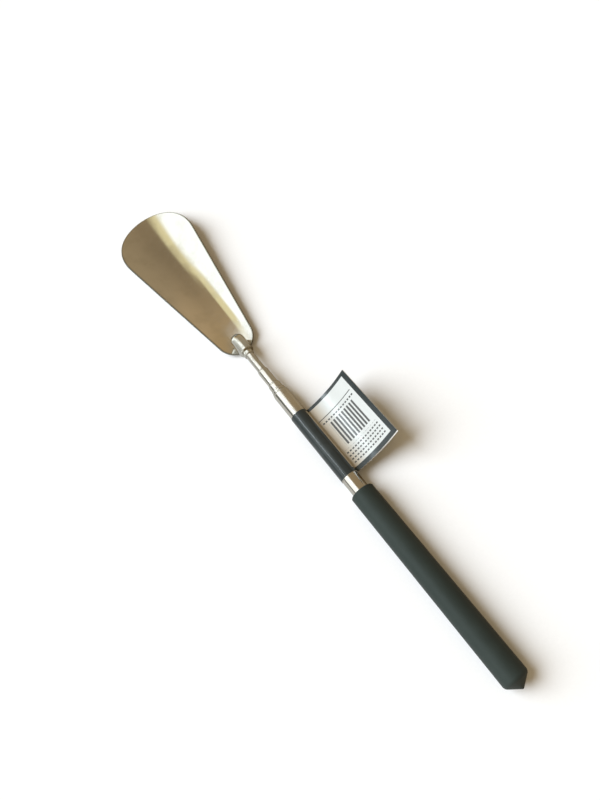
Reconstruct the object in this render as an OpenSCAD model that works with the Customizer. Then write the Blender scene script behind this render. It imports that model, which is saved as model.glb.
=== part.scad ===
// Telescopic long shoehorn, pushed together, lying on its back with the hollow of the blade up.
// The rod runs along +X from grip to blade, +Z is up, and the origin is on the rod's axis
// in the middle of the grip's straight barrel. Positions along the rod count from the grip's nub.

/* [Grip] */
// Outside diameter of the rubber grip
grip_d = 11.2; // [10.6:0.1:13]
// Length of the grip from its nub to its open end
grip_l = 94.8; // [84:0.1:98]
// Length of the cone that closes the grip
cone_l = 3.6; // [3:0.1:4.2]
// Width of the blunt nub on the cone
nub_d = 1.8; // [1.4:0.1:2.4]
// Rounding where the cone meets the barrel
shoulder_r = 1.1; // [0.5:0.1:1.5]
// Rounding of the open end's rim
rim_r = 0.6; // [0.3:0.1:0.8]

/* [Tubes] */
// Outside diameter of the outer tube
tube_d = 8.0; // [7.6:0.1:8.4]
// Wall of every tube
tube_wall = 0.25; // [0.2:0.01:0.28]
// Drop in outside diameter from one tube to the next
tube_step = 0.9; // [0.86:0.01:0.95]
// Mouth of the outer tube, from the nub
outer_mouth = 158.3; // [150:0.1:165]
// Length of the second tube that shows when pushed in
second_shows = 2.0; // [1.5:0.1:4]
// Length of the third tube that shows when pushed in
third_shows = 3.8; // [3:0.1:6]
// Length of the fourth tube that shows when pushed in
fourth_shows = 10.3; // [6:0.1:14]
// Length of the inner tube that shows when pushed in
inner_shows = 11.6; // [8:0.1:16]
// Length of each split friction sleeve
spring_l = 20; // [12:0.5:24]

/* [Blade] */
// Distance from the socket's shoulder to the centre of the tail's rounding
tail_back = 13.4; // [12:0.1:15]
// Thickness of the pressed sheet
sheet = 0.8; // [0.6:0.05:1]
// Half width of the rounded tail
tail_r = 9.7; // [8:0.1:12]
// Half width of the rounded tip
tip_w = 21.6; // [18:0.1:24]
// Length of the tip's rounding
tip_l = 29; // [20:0.5:36]
// Distance between the centres of the tail's and the tip's rounding
blade_span = 82; // [60:1:100]
// Radius of the hollow across the tail
tail_bend = 18; // [14:0.5:24]
// Radius of the hollow across the tip
tip_bend = 40; // [30:0.5:50]
// Height that the tip curls up
tip_lift = 0.5; // [0:0.1:1]

/* [Socket] */
// Outside diameter of the socket
socket_d = 7.4; // [6:0.1:7.6]
// Length of the socket without its crimped neck
socket_l = 12.4; // [10:0.1:14]
// Length of the crimped neck
neck_l = 2.6; // [2:0.1:4]

/* [Tag] */
// Where the paper tag starts, from the nub
tag_at = 103.4; // [100:0.1:112]
// Width of the tag along the tube
tag_l = 39.2; // [30:0.1:42]
// Length of the flag from the tube to its free edge
flag_l = 26.6; // [18:0.2:30]
// Slope of the flag where it leaves the tube
flag_start = 8; // [2:1:15]
// Slope of the flag at its free edge
flag_end = 42; // [25:1:55]
// Thickness of the paper
paper = 0.2; // [0.15:0.01:0.25]

/* [Hidden] */
$fn = 96;
eps = 0.02;

// Gaps: bonded pieces, sliding fits, the friction sleeves, and end play between pieces
bond_gap = 0.02;
run_gap = 0.06;
spring_gap = 0.04;
end_play = 0.15;
foot_gap = 0.3;

// Grip
grip_r = grip_d / 2;
nub_r = nub_d / 2;
nub_h = 0.45;
nub_flat = 0.7;
nub_ease = 0.15;
cone_angle = atan2(grip_r - nub_r, cone_l - nub_h);
barrel_from = cone_l + shoulder_r * tan(cone_angle / 2);
barrel_to = grip_l - rim_r;
datum = (barrel_from + barrel_to) / 2;
rest_z = -grip_r;

// Plug in the butt of the outer tube
plug_from = 5.0;
plug_flange = 1.0;
plug_l = 5.2;
tube_from = plug_from + plug_flange;

// Nest of tubes, counted from 0 for the outer tube to 4 for the inner one
function od(i) = tube_d - i * tube_step;
function id(i) = od(i) - 2 * tube_wall;
shows = [0, second_shows, third_shows, fourth_shows];
function mouth(i) = i == 0 ? outer_mouth : mouth(i - 1) + shows[i];
roll_l = 2.4;
land_l = 1.3;
flange_l = 1.2;
spigot_l = 3.0;
bush_wall = 0.9;
bead_l = 1.0;
bead_ramp = 0.25;
function foot(i) = plug_from + plug_l + foot_gap + (i - 1) * (flange_l + spigot_l + foot_gap);
function spring_at(i) = foot(i) + flange_l + end_play;
function bead_at(i) = spring_at(i) + spring_l + end_play;
function travel(i) = mouth(i - 1) - roll_l - end_play - bead_at(i) - bead_l;

// Slits of a friction sleeve
seam_w = 1.0;
slit_w = 0.4;
slit_share = 0.7;
slit_turn = 60;

// Socket
socket_r = socket_d / 2;
nose_solid = 1.2;
neck_at = mouth(3) + inner_shows;
socket_at = neck_at + neck_l;
nose_at = socket_at + socket_l;
dome_at = nose_at - socket_r;
bore_end = dome_at - nose_solid;
neck_wall = 0.45;
neck_r = od(4) / 2 + neck_wall;
dent_r = 0.5;
dent_depth = 0.2;
dent_turn = 60;
core_l = 10.5;
core_bevel = 0.4;
inner_end = bore_end - foot_gap;

// Blade outline: a round tail and an oval tip joined by straight sides that touch both
tail_x = socket_at + tail_back;
tip_x = tail_x + blade_span;
blade_from = tail_x - tail_r;
blade_to = tip_x + tip_l;
side_a = pow(blade_span, 2) - pow(tip_l, 2) + pow(tip_w, 2);
side_b = blade_span * tail_r;
flare_sin = (sqrt(pow(side_b, 2) + side_a * (pow(tip_w, 2) - pow(tail_r, 2))) - side_b) / side_a;
flare = asin(flare_sin);
tip_turn = 90 + atan2(tip_l * flare_sin, tip_w * cos(flare));
end_turn = 6;
tail_steps = 8;
side_steps = 12;
tip_steps = 14;
across = 18;
tail_row = [
    for (k = [0 : tail_steps])
        let (t = end_turn + (90 - flare - end_turn) * k / tail_steps)
            [tail_x - tail_r * cos(t), tail_r * sin(t)]
];
tip_row = [
    for (k = [0 : tip_steps])
        let (t = tip_turn + (end_turn - tip_turn) * k / tip_steps)
            [tip_x + tip_l * cos(t), tip_w * sin(t)]
];
side_row = [
    for (k = [1 : side_steps - 1])
        tail_row[tail_steps] + (tip_row[0] - tail_row[tail_steps]) * k / side_steps
];
outline = concat(tail_row, side_row, tip_row);

// Blade hollow: its bend opens towards the tip, and its spine dips to the surface it lies on
braze_film = 0.1;
spine_top = -socket_r - braze_film;
spine_low = rest_z + sheet;
dip_from = tail_x + 2;
dip_to = tip_x;
function ease(t) = let (c = min(max(t, 0), 1)) c * c * (3 - 2 * c);
function bend(x) = tail_bend + (tip_bend - tail_bend) * (x - blade_from) / (blade_to - blade_from);
function spine(x) = spine_top + (spine_low - spine_top) * ease((x - dip_from) / (dip_to - dip_from))
    + tip_lift * pow(max(x - tip_x, 0) / tip_l, 2);
function hollow(x, y) = spine(x) + bend(x) - sqrt(pow(bend(x), 2) - y * y);
function skin(x, w, side, depth) =
    let (a = side * asin(w / bend(x)), r = bend(x) + depth)
        [x - datum, r * sin(a), spine(x) + bend(x) - r * cos(a)];

// Braze between socket and blade: filler up to a set height on the socket's flanks
braze_from = blade_from + 0.8;
braze_to = nose_at - 1.4;
braze_run = 1.2;
braze_top = 0.9 - socket_r;
braze_spread = 1.3;
braze_edge = 0.08;
braze_gap = 0.06;
braze_steps = 12;
braze_flank = 4;
braze_reach = braze_flank + 2;
function socket_half(x) = x < dome_at ? socket_r : sqrt(pow(socket_r, 2) - pow(x - dome_at, 2));
function touch(x) = sqrt(pow(socket_half(x), 2) - pow(braze_top, 2));
function braze_y(x, j) =
    let (a = abs(j), t = touch(x))
        sign(j) * (a <= braze_flank ? t * a / braze_flank : t + braze_spread * (a - braze_flank) / 2);
function braze_z(x, j) =
    let (y = braze_y(x, j), edge = hollow(x, y) + braze_edge)
        abs(j) <= braze_flank ? -sqrt(pow(socket_half(x), 2) - y * y) - braze_gap
        : abs(j) == braze_reach ? edge : (braze_top + 2 * edge) / 3;

// Points of an arc about c, from angle a to angle b
function arc(c, r, a, b, steps) =
    [for (k = [0 : steps]) let (t = a + (b - a) * k / steps) c + r * [cos(t), sin(t)]];

// A turned piece: profile points are [radius, position from the nub]
module turned(profile)
    translate([-datum, 0, 0]) rotate([0, 90, 0]) rotate_extrude() polygon(profile);

// Closed skin through rings of points that all have the same count
module lofted(rings) {
    n = len(rings[0]);
    last = len(rings) - 1;
    walls = [
        for (i = [0 : last - 1], j = [0 : n - 1])
            let (a = i * n + j, b = i * n + (j + 1) % n)
                each [[a, b, b + n], [a, b + n, a + n]]
    ];
    half = n / 2;
    function cap(base) = [
        for (j = [0 : half - 2])
            let (a = base + j, b = base + j + 1, c = base + n - 2 - j, d = base + n - 1 - j)
                each [[a, d, b], [b, d, c]]
    ];
    far = [for (f = cap(last * n)) [f[2], f[1], f[0]]];
    polyhedron([for (r = rings) each r], concat(walls, cap(0), far), convexity = 6);
}

module grip_sleeve() {
    outside = concat(
        [[0, 0], [nub_r * nub_flat, nub_h * nub_ease], [nub_r, nub_h]],
        arc([grip_r - shoulder_r, barrel_from], shoulder_r, -cone_angle, 0, 6),
        arc([grip_r - rim_r, barrel_to], rim_r, 0, 90, 5)
    );
    bore_r = tube_d / 2 + bond_gap;
    inside = [[bore_r, grip_l], [bore_r, plug_from - bond_gap], [0, plug_from - bond_gap]];
    color([0.16, 0.19, 0.18]) turned(concat(outside, inside));
}

module outer_tube() {
    color([0.8, 0.8, 0.78]) turned(tube_profile(0, tube_from, []));
}

// Half section of a tube with a rolled-in mouth, and a stop bead if it slides
function tube_profile(i, from, bead) =
    let (
        out = od(i) / 2,
        bore = id(i) / 2,
        lip = od(i + 1) / 2 + run_gap,
        end = mouth(i)
    )
    concat(
        [[bore, from], [out, from]],
        bead,
        [[out, end - roll_l], [lip + tube_wall, end - land_l], [lip + tube_wall, end]],
        [[lip, end], [lip, end - land_l], [bore, end - roll_l]]
    );

function stop_bead(i) =
    let (out = od(i) / 2, top = id(i - 1) / 2 - run_gap, at = bead_at(i))
        [[out, at], [top, at + bead_ramp], [top, at + bead_l - bead_ramp], [out, at + bead_l]];

module butt_plug() {
    plug_r = id(0) / 2 - bond_gap;
    profile = [
        [0, plug_from], [tube_d / 2, plug_from], [tube_d / 2, tube_from - bond_gap],
        [plug_r, tube_from - bond_gap], [plug_r, plug_from + plug_l], [0, plug_from + plug_l]
    ];
    color([0.75, 0.73, 0.68]) turned(profile);
}

// Foot of a sliding tube: a brass bush with a flange that runs in the tube outside
module bush(i) {
    hole = id(i) / 2 - bush_wall;
    flange = id(i - 1) / 2 - run_gap;
    spigot = id(i) / 2 - bond_gap;
    from = foot(i);
    step = from + flange_l - bond_gap;
    end = from + flange_l + spigot_l;
    profile = [[hole, from], [flange, from], [flange, step], [spigot, step], [spigot, end], [hole, end]];
    color([0.78, 0.62, 0.3]) turned(profile);
}

// Split bronze sleeve with slits from its front end
module friction_spring(i) {
    out = id(i - 1) / 2 - spring_gap;
    bore = od(i) / 2 + spring_gap;
    from = spring_at(i);
    color([0.72, 0.5, 0.3]) difference() {
        turned([[bore, from], [out, from], [out, from + spring_l], [bore, from + spring_l]]);
        translate([from - datum - eps, -seam_w / 2, 0]) cube([spring_l + 2 * eps, seam_w, tube_d]);
        for (a = [slit_turn : slit_turn : 360 - slit_turn])
            rotate([a, 0, 0])
                translate([from - datum + spring_l * (1 - slit_share), -slit_w / 2, 0])
                    cube([spring_l, slit_w, tube_d]);
    }
}

module sliding_tube(i) {
    color([0.82, 0.82, 0.8]) turned(tube_profile(i, foot(i) + flange_l, stop_bead(i)));
}

module second_tube() sliding_tube(1);
module second_bush() bush(1);
module second_spring() friction_spring(1);
module third_tube() sliding_tube(2);
module third_bush() bush(2);
module third_spring() friction_spring(2);
module fourth_tube() sliding_tube(3);
module fourth_bush() bush(3);
module fourth_spring() friction_spring(3);
module inner_bush() bush(4);
module inner_spring() friction_spring(4);

// The inner tube has no rolled mouth: its end is crimped into the socket
module inner_tube() {
    out = od(4) / 2;
    bore = id(4) / 2;
    from = foot(4) + flange_l;
    profile = concat(
        [[bore, from], [out, from]],
        stop_bead(4),
        [[out, inner_end], [bore, inner_end]]
    );
    color([0.82, 0.82, 0.8]) turned(profile);
}

module crimp_core() {
    core_r = id(4) / 2 - bond_gap;
    to = inner_end - bond_gap;
    from = to - core_l;
    profile = [
        [0, from], [core_r - core_bevel, from], [core_r, from + core_bevel],
        [core_r, to - core_bevel], [core_r - core_bevel, to], [0, to]
    ];
    color([0.6, 0.6, 0.6]) turned(profile);
}

module blade_socket() {
    bore = od(4) / 2 + bond_gap;
    bevel = 0.25;
    outside = concat(
        [[bore, neck_at], [neck_r - bevel, neck_at], [neck_r, neck_at + bevel], [neck_r, socket_at]],
        [[socket_r - bevel, socket_at], [socket_r, socket_at + bevel]],
        arc([0, dome_at], socket_r, 0, 90, 12)
    );
    color([0.85, 0.85, 0.83]) difference() {
        turned(concat(outside, [[0, bore_end], [bore, bore_end]]));
        for (a = [0 : dent_turn : 360 - dent_turn])
            rotate([a + dent_turn / 2, 0, 0])
                translate([neck_at + neck_l / 2 - datum, 0, neck_r + dent_r - dent_depth])
                    sphere(dent_r, $fn = 32);
    }
}

module blade() {
    rings = [
        for (p = outline)
            concat(
                [for (j = [0 : across]) skin(p[0], p[1], 2 * j / across - 1, 0)],
                [for (j = [across : -1 : 0]) skin(p[0], p[1], 2 * j / across - 1, sheet)]
            )
    ];
    color([0.78, 0.72, 0.6]) lofted(rings);
}

module braze_pad() {
    stations = [
        for (k = [0 : braze_steps]) braze_from + (braze_to - braze_from) * k / braze_steps
    ];
    filled = [
        for (x = stations)
            concat(
                [for (j = [-braze_reach : braze_reach]) [x - datum, braze_y(x, j), braze_z(x, j)]],
                [for (j = [braze_reach : -1 : -braze_reach])
                    let (y = braze_y(x, j)) [x - datum, y, hollow(x, y) + bond_gap]]
            )
    ];
    x_end = braze_to + braze_run;
    function feather_point(j, lift) =
        let (y = braze_y(braze_to, j)) [x_end - datum, y, hollow(x_end, y) + lift];
    feather = concat(
        [for (j = [-braze_reach : braze_reach]) feather_point(j, braze_edge)],
        [for (j = [braze_reach : -1 : -braze_reach]) feather_point(j, bond_gap)]
    );
    color([0.7, 0.66, 0.55]) lofted(concat(filled, [feather]));
}

// Paper band round the outer tube whose two ends are glued back to back as a flag
module paper_tag() {
    band_r = tube_d / 2 + bond_gap;
    root_turn = 194;
    flag_r = flag_l * 180 / (PI * (flag_end - flag_start));
    root = (band_r + paper / 2) * [cos(root_turn), sin(root_turn)];
    centre = root + flag_r * [sin(flag_start), cos(flag_start)];
    function ray(slope) = centre + 2 * flag_r * [-sin(slope), -cos(slope)];
    color([0.14, 0.17, 0.2])
        translate([tag_at - datum, 0, 0]) rotate([90, 0, 90]) linear_extrude(tag_l) {
            difference() {
                circle(band_r + paper);
                circle(band_r);
            }
            intersection() {
                translate(centre) difference() {
                    circle(flag_r + paper);
                    circle(flag_r - paper);
                }
                polygon([centre, ray(flag_start), ray(flag_end)]);
            }
        }
}

grip_sleeve();
outer_tube();
butt_plug();
paper_tag();
second_tube();
second_bush();
second_spring();
third_tube();
third_bush();
third_spring();
fourth_tube();
fourth_bush();
fourth_spring();
inner_tube();
inner_bush();
inner_spring();
crimp_core();
blade_socket();
blade();
braze_pad();
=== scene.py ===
import math

import bmesh
import bpy
from mathutils import Matrix, Vector


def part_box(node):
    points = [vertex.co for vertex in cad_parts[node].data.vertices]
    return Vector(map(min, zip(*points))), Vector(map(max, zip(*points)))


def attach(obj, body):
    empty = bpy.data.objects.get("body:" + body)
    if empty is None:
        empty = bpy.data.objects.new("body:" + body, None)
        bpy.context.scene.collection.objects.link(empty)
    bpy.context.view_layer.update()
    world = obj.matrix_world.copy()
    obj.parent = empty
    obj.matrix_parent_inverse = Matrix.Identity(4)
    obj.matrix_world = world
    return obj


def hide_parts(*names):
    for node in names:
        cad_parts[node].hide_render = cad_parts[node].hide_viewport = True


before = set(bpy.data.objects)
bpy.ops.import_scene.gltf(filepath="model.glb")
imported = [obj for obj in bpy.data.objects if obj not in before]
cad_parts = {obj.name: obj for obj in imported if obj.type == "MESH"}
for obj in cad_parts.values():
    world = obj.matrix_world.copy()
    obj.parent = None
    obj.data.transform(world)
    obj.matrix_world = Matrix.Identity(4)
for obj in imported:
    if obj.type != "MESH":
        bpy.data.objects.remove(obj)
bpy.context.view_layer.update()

# Inside of the nest
# Turned brass bushes close the feet of the sliding tubes, and split bronze sleeves sprung round them give the
# drag. A moulded plug shuts the outer tube, and a cut steel pin backs the crimp. All are pressed into place.


def add(tree, kind, inputs=(), **settings):
    """The outputs of a new node, with its settings, and its inputs set to values or linked to sockets."""
    made = tree.nodes.new(kind)
    for name, value in settings.items():
        setattr(made, name, value)
    for name, value in dict(inputs).items():
        if isinstance(value, bpy.types.NodeSocket):
            tree.links.new(value, made.inputs[name])
        else:
            made.inputs[name].default_value = value
    return made.outputs


def calc(tree, operation, *values):
    """The result of one Math node."""
    return add(tree, "ShaderNodeMath", enumerate(values), operation=operation)[0]


def times(tree, a, b):
    """The product of two values."""
    return calc(tree, "MULTIPLY", a, b)


def spread(tree, value, low, high, to_low=0.0, to_high=1.0, kind="SMOOTHSTEP"):
    """A value carried from one range to another."""
    ends = {"Value": value, "From Min": low, "From Max": high, "To Min": to_low, "To Max": to_high}
    return add(tree, "ShaderNodeMapRange", ends, interpolation_type=kind)[0]


def split(tree, vector):
    """The X, Y and Z of a vector."""
    return add(tree, "ShaderNodeSeparateXYZ", {0: vector})


def join(tree, **parts):
    """A vector from its X, Y and Z."""
    return add(tree, "ShaderNodeCombineXYZ", parts)[0]


def object_place(tree):
    """The point on the piece, in the rod's frame."""
    return add(tree, "ShaderNodeTexCoord")["Object"]


def effect(name, sizes, result):
    """A shader node group that turns named sizes into one value over the surface."""
    tree = bpy.data.node_groups.new(name, "ShaderNodeTree")
    for label, value in sizes.items():
        socket = tree.interface.new_socket(label, in_out="INPUT", socket_type="NodeSocketFloat")
        socket.default_value = value
    tree.interface.new_socket(result, in_out="OUTPUT", socket_type="NodeSocketFloat")
    return tree, tree.nodes.new("NodeGroupInput").outputs, tree.nodes.new("NodeGroupOutput").inputs[0]


def turning_rings():
    """Uneven fine rings that a lathe tool leaves round the rod's axis."""
    tree, size, result = effect("turning_rings", {"Rings per metre": 6000.0}, "Rings")
    x = split(tree, object_place(tree))["X"]
    where = times(tree, x, size["Rings per metre"])
    rings = add(tree, "ShaderNodeTexNoise", {"W": where, "Scale": 1.0, "Detail": 3.0}, noise_dimensions="1D")
    tree.links.new(rings["Fac"], result)
    return tree


def drawn_lines():
    """Hairlines along the rod, from drawing a tube or polishing a sheet lengthwise."""
    sizes = {"Lines per metre": 9000.0, "Breaks per metre": 60.0}
    tree, size, result = effect("drawn_lines", sizes, "Lines")
    lengthwise, across = size["Breaks per metre"], size["Lines per metre"]
    stretch = join(tree, X=lengthwise, Y=across, Z=across)
    where = add(tree, "ShaderNodeVectorMath", {0: object_place(tree), 1: stretch}, operation="MULTIPLY")[0]
    lines = add(tree, "ShaderNodeTexNoise", {"Vector": where, "Scale": 1.0, "Detail": 4.0, "Roughness": 0.7})
    tree.links.new(lines["Fac"], result)
    return tree


def handling_marks():
    """Patches of finger grease and dust, some millimetres across."""
    tree, size, result = effect("handling_marks", {"Patches per metre": 90.0, "Share": 0.5}, "Marks")
    cloud = {"Scale": size["Patches per metre"], "Detail": 5.0, "Roughness": 0.62}
    patches = add(tree, "ShaderNodeTexNoise", {"Vector": object_place(tree), **cloud})["Fac"]
    edge = calc(tree, "SUBTRACT", 1.0, size["Share"])
    softness = 0.12
    marks = spread(tree, patches, calc(tree, "SUBTRACT", edge, softness), calc(tree, "ADD", edge, softness))
    tree.links.new(marks, result)
    return tree


def apply_effect(tree, group, **sizes):
    """The value of an effect, with this finish's own sizes."""
    named = {name.replace("_", " "): value for name, value in sizes.items()}
    return add(tree, "ShaderNodeGroup", named, node_tree=group)[0]


def new_finish(name, **plain):
    """A material with one Principled shader, and its even values set on the shader's own sockets."""
    made = bpy.data.materials.new(name)
    made.use_nodes = True
    shader = made.node_tree.nodes["Principled BSDF"]
    for socket, value in plain.items():
        shader.inputs[socket.replace("_", " ")].default_value = value
    return made, made.node_tree, shader.inputs


def raise_surface(tree, shader, height, depth):
    """Bump from a height between 0 and 1, over a depth in metres."""
    bump = add(tree, "ShaderNodeBump", {"Height": height, "Strength": 1.0, "Distance": depth})
    tree.links.new(bump[0], shader["Normal"])


def blend(tree, value, low, high):
    """A colour between two others, each of which is given or comes from a socket."""
    ends = [c if isinstance(c, bpy.types.NodeSocket) else (*c, 1) for c in (low, high)]
    return add(tree, "ShaderNodeMix", {0: value, 6: ends[0], 7: ends[1]}, data_type="RGBA")[2]


def tint(tree, shader, value, low, high):
    """Base colour between two colours."""
    tree.links.new(blend(tree, value, low, high), shader["Base Color"])


def roughen(tree, shader, polish, *dulled):
    """Roughness of the polish, and more where masks such as marks and grime lie on it."""
    rough = polish
    for mask, more in dulled:
        rough = calc(tree, "ADD", rough, times(tree, mask, more))
    tree.links.new(rough, shader["Roughness"])


rings_effect = turning_rings()
lines_effect = drawn_lines()
marks_effect = handling_marks()


def turned_metal(name, dull, bright):
    """Bare metal with the rings of the lathe, between a dull and a bright colour."""
    made, tree, shader = new_finish(name, Metallic=1.0)
    rings = apply_effect(tree, rings_effect, Rings_per_metre=7000.0)
    tint(tree, shader, rings, dull, bright)
    roughen(tree, shader, spread(tree, rings, 0.3, 0.7, to_low=0.2, to_high=0.42))
    raise_surface(tree, shader, rings, depth=8e-6)
    return made


def rolled_strip(name, dull, bright):
    """Bare metal with fine lines along the rod, between a dull and a bright colour."""
    made, tree, shader = new_finish(name, Metallic=1.0)
    lines = apply_effect(tree, lines_effect, Lines_per_metre=5000.0, Breaks_per_metre=90.0)
    tint(tree, shader, lines, dull, bright)
    roughen(tree, shader, spread(tree, lines, 0.3, 0.7, to_low=0.28, to_high=0.45))
    raise_surface(tree, shader, lines, depth=6e-6)
    return made


def moulded_plug():
    """Off-white moulded plastic with faint patches."""
    made, tree, shader = new_finish("plug_plastic")
    marks = apply_effect(tree, marks_effect, Patches_per_metre=400.0)
    tint(tree, shader, marks, (0.62, 0.59, 0.51), (0.7, 0.67, 0.6))
    roughen(tree, shader, spread(tree, marks, 0.0, 1.0, to_low=0.45, to_high=0.6))
    raise_surface(tree, shader, marks, depth=1e-5)
    return made


brass = turned_metal("bush_brass", (0.6, 0.42, 0.16), (0.78, 0.58, 0.27))
bronze = rolled_strip("spring_bronze", (0.48, 0.28, 0.14), (0.64, 0.41, 0.23))
pin_steel = rolled_strip("core_steel", (0.42, 0.42, 0.41), (0.6, 0.6, 0.58))
hidden_finishes = {"butt_plug": moulded_plug(), "crimp_core": pin_steel}
for stage in ("second", "third", "fourth", "inner"):
    hidden_finishes[stage + "_bush"] = brass
    hidden_finishes[stage + "_spring"] = bronze
for name, finish in hidden_finishes.items():
    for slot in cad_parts[name].material_slots:
        slot.material = finish

# Tubes
# Thin stainless tubes, drawn and polished, that slide in one another. Each sliding tube has a raised stop bead
# near its foot, and each mouth but the inner one is rolled in to a lip, so that the next tube can't pull out.

MM = 0.001
butt_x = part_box("grip_sleeve")[0].x
tube_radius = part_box("outer_tube")[1].z
tube_step = 0.45 * MM
tube_wall = 0.25 * MM
slide_gap = 0.06 * MM
roll_length = 1.0 * MM
lip_length = 0.6 * MM
# Painted shade: a dark band round each tube's mouth, where the next tube goes in.
lip_shade = 0.2 * MM
lip_shade_fade = 0.1 * MM
guard = 0.04 * MM
bead_offset = 20.3 * MM
bead_length = 1.0 * MM
bead_ramp = 0.25 * MM
bead_steps, bend_steps = 4, 8


def along(mm):
    """Place on the rod's axis, counted in millimetres from the grip's closed end."""
    return butt_x + mm * MM


def round_bend(centre, radius, start, end, steps):
    """Points of an arc in a half section, angles in degrees from the rod's direction."""
    turns = [math.radians(start + (end - start) * k / steps) for k in range(steps + 1)]
    return [(centre[0] + radius * math.cos(t), centre[1] + radius * math.sin(t)) for t in turns]


def ease_line(start, end, steps):
    """Points from start to end along the rod, easing from one radius to the other."""
    points = []
    for k in range(steps + 1):
        t = k / steps
        eased = t * t * (3 - 2 * t)
        points.append((start[0] + (end[0] - start[0]) * t, start[1] + (end[1] - start[1]) * eased))
    return points


def start_tree(name, **inputs):
    """A Geometry Nodes tree and its inputs, given as the names of each kind."""
    tree = bpy.data.node_groups.new(name, "GeometryNodeTree")
    for kind, labels in inputs.items():
        for label in labels:
            tree.interface.new_socket(label, in_out="INPUT", socket_type="NodeSocket" + kind)
    tree.interface.new_socket("Finish", in_out="INPUT", socket_type="NodeSocketMaterial")
    tree.interface.new_socket("Piece", in_out="OUTPUT", socket_type="NodeSocketGeometry")
    return tree, tree.nodes.new("NodeGroupInput").outputs


def counted_sheet(tree, columns, rows):
    """A flat sheet of points, and the column and the row that each of them is in."""
    sheet = add(tree, "GeometryNodeMeshGrid", {"Vertices X": columns, "Vertices Y": rows})["Mesh"]
    index = add(tree, "GeometryNodeInputIndex")[0]
    column = calc(tree, "FLOOR", calc(tree, "DIVIDE", calc(tree, "ADD", index, 0.5), rows))
    return sheet, column, calc(tree, "MODULO", index, rows)


def point_count(tree, line):
    """How many points a drawn line has."""
    return add(tree, "GeometryNodeAttributeDomainSize", {0: line}, component="MESH")["Point Count"]


def read_line(tree, line, number, field, kind):
    """What a field says at one point of a drawn line."""
    return add(tree, "GeometryNodeSampleIndex", {0: line, 1: field, 2: number}, data_type=kind)[0]


def named_mark(tree, geometry, name, value):
    """The geometry with a value stored on its points."""
    inputs = {"Geometry": geometry, "Name": name, "Value": value}
    return add(tree, "GeometryNodeStoreNamedAttribute", inputs, data_type="FLOAT", domain="POINT")[0]


def welded(tree, geometry, distance):
    """The geometry with its doubles merged, shaded smooth."""
    closed = add(tree, "GeometryNodeMergeByDistance", {"Geometry": geometry, "Distance": distance})[0]
    return add(tree, "GeometryNodeSetShadeSmooth", {0: closed})[0]


def end_tree(tree, geometry, finish):
    """Ends a tree in real geometry of one finish."""
    real = add(tree, "GeometryNodeRealizeInstances", {0: geometry})[0]
    done = add(tree, "GeometryNodeSetMaterial", {"Geometry": real, "Material": finish})[0]
    tree.links.new(done, tree.nodes.new("NodeGroupOutput").inputs[0])
    return tree


def turned_tree():
    """Geometry Nodes that turn a half section, drawn as a line of points, round the rod's axis."""
    tree, given = start_tree("turned_piece", Geometry=["Half section"], Int=["Segments"])
    section, segments = given["Half section"], given["Segments"]
    sheet, column, row = counted_sheet(tree, calc(tree, "ADD", segments, 1.0), point_count(tree, section))
    angle = calc(tree, "DIVIDE", times(tree, column, 2 * math.pi), segments)
    position = add(tree, "GeometryNodeInputPosition")[0]
    point = split(tree, read_line(tree, section, row, position, "FLOAT_VECTOR"))
    # The mark of painted shade goes from the drawn line onto the turned piece.
    drawn = add(tree, "GeometryNodeInputNamedAttribute", {"Name": "painted_shade"}, data_type="FLOAT")[0]
    painted_shade = read_line(tree, section, row, drawn, "FLOAT")
    y, z = (times(tree, point["Z"], calc(tree, wave, angle)) for wave in ("SINE", "COSINE"))
    place = join(tree, X=point["X"], Y=y, Z=z)
    shaped = add(tree, "GeometryNodeSetPosition", {"Geometry": sheet, "Position": place})[0]
    marked = named_mark(tree, shaped, "painted_shade", painted_shade)
    return end_tree(tree, welded(tree, marked, distance=1e-7), given["Finish"])


def new_object(name, data):
    """An object in the scene, at the origin."""
    made = bpy.data.objects.new(name, data)
    bpy.context.scene.collection.objects.link(made)
    return made


def draw_line(name, points):
    """A piece that starts as a line of points through the frame."""
    mesh = bpy.data.meshes.new(name)
    mesh.from_pydata(points, [(k, k + 1) for k in range(len(points) - 1)], [])
    return new_object(name, mesh)


def run_tree(piece, tree, **sizes):
    """Puts a Geometry Nodes tree on a piece, with its sizes."""
    modifier = piece.modifiers.new(tree.name, "NODES")
    modifier.node_group = tree
    named = {name.replace("_", " "): value for name, value in sizes.items()}
    for socket in tree.interface.items_tree:
        if socket.in_out == "INPUT" and socket.name in named:
            modifier[socket.identifier] = named[socket.name]


def keep_mesh(piece, sharp_from=35):
    """Turns the piece and its modifiers into a plain mesh that faces outwards."""
    drawn = piece.data
    finished = piece.evaluated_get(bpy.context.evaluated_depsgraph_get())
    mesh = bpy.data.meshes.new_from_object(finished)
    piece.modifiers.clear()
    piece.data = mesh
    bpy.data.meshes.remove(drawn)
    mesh.name = piece.name
    shell = bmesh.new()
    shell.from_mesh(mesh)
    bmesh.ops.recalc_face_normals(shell, faces=shell.faces)
    shell.to_mesh(mesh)
    shell.free()
    mesh.set_sharp_from_angle(angle=math.radians(sharp_from))


def fit(piece, body, node):
    """The piece rides on a body and stands in for a node, which it hides."""
    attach(piece, body)
    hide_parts(node)


turned_piece = turned_tree()


def turn(name, section, finish, segments=96, shaded_stretches=()):
    """A turned piece from its closed half section, with painted shade on some stretches along the rod."""
    piece = draw_line(name, [(x, 0.0, radius) for x, radius in section])
    painted_shade = piece.data.attributes.new("painted_shade", "FLOAT", "POINT")
    for mark, (x, radius) in zip(painted_shade.data, section):
        mark.value = float(any(start <= x <= end for start, end in shaded_stretches))
    run_tree(piece, turned_piece, Segments=segments, Finish=finish)
    return piece


def stored(tree, name):
    """A value that the mesh carries."""
    return add(tree, "ShaderNodeAttribute", attribute_name=name)["Fac"]


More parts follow.
